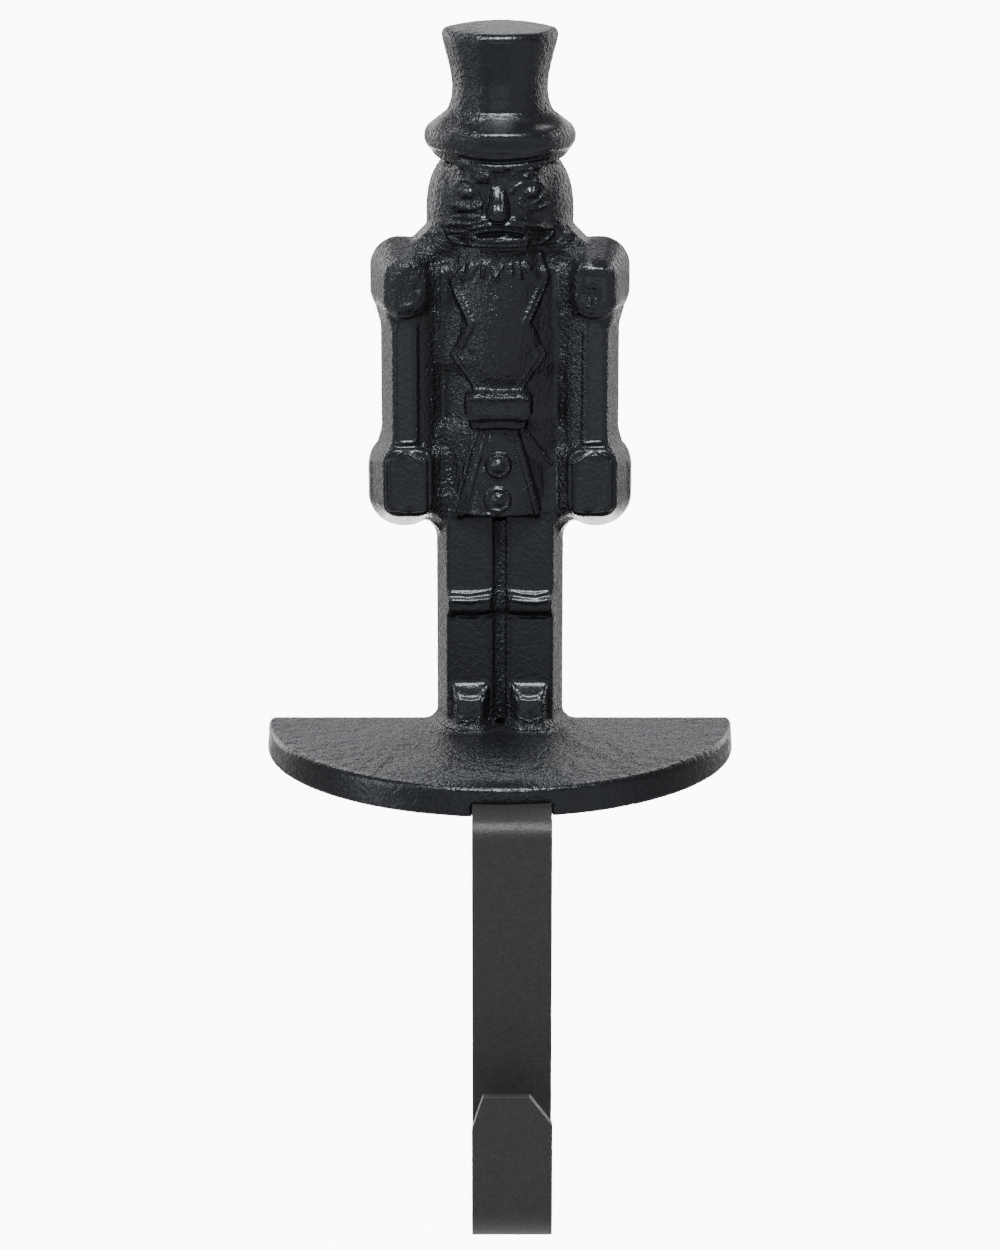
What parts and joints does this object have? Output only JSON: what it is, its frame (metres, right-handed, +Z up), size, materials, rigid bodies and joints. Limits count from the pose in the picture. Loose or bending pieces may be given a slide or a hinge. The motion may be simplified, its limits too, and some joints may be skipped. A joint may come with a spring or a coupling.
{
  "type": "mantel stocking holder",
  "caption": "Cast nutcracker soldier on a half-round base that sits on a mantel, with a flat strip hook hanging in front of the shelf for a stocking.",
  "frame": {"origin": "middle of the base's straight back edge, on the underside that sits on the mantel", "axes": "+X to the viewer's right, -Y out of the figure's front towards the hook, +Z up"},
  "size_m": [0.1248, 0.0982, 0.2952],
  "materials": {
    "casting": "satin black powder coat over a sand-cast surface",
    "strip": "smooth satin black powder coat",
    "screws": "bright zinc"
  },
  "bodies": {
    "root": {"nutcracker_casting": "casting", "hook_strip": "strip", "hook_screws": "screws"}
  },
  "joints": []
}
